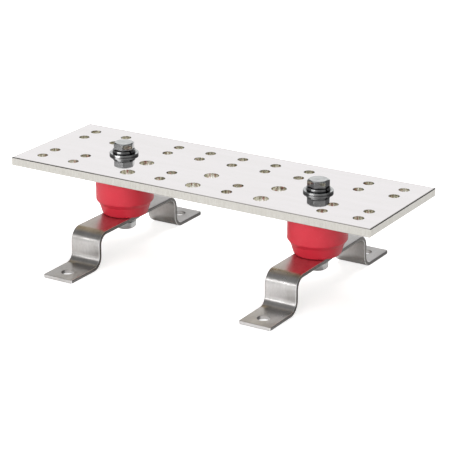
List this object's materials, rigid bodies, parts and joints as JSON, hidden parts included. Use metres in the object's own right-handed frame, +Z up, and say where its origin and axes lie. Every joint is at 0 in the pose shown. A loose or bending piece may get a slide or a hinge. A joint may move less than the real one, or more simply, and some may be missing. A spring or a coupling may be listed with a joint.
{
  "type": "rack grounding busbar",
  "caption": "Flat tin-plated copper grounding bar drilled for two-hole lugs, held above its mounting surface by red standoff insulators on bent stainless feet.",
  "frame": {"origin": "middle of the footprint, on the plane of the foot undersides", "axes": "+X along the bar to its right end, +Y to the back, +Z up through the insulators"},
  "size_m": [0.3048, 0.1778, 0.0831],
  "materials": {
    "tinned_copper": "bright tin plating on copper, near mirror",
    "red_polyester": "moulded glass-filled polyester, satin",
    "brushed_stainless": "rolled strip with a fine lengthwise grain",
    "bright_stainless": "bright cold-headed stainless",
    "brass_insert": "turned brass, inside the insulators"
  },
  "bodies": {
    "root": {"bracket_left": "brushed_stainless", "bracket_right": "brushed_stainless", "busbar": "tinned_copper", "insulator_left": "red_polyester", "insulator_right": "red_polyester", "lower_bolt_left": "bright_stainless", "lower_bolt_right": "bright_stainless", "lower_flat_washer_left": "bright_stainless", "lower_flat_washer_right": "bright_stainless", "lower_insert_left": "brass_insert", "lower_insert_right": "brass_insert", "lower_lock_washer_left": "bright_stainless", "lower_lock_washer_right": "bright_stainless", "upper_bolt_left": "bright_stainless", "upper_bolt_right": "bright_stainless", "upper_flat_washer_left": "bright_stainless", "upper_flat_washer_right": "bright_stainless", "upper_insert_left": "brass_insert", "upper_insert_right": "brass_insert", "upper_lock_washer_left": "bright_stainless", "upper_lock_washer_right": "bright_stainless"}
  },
  "joints": []
}
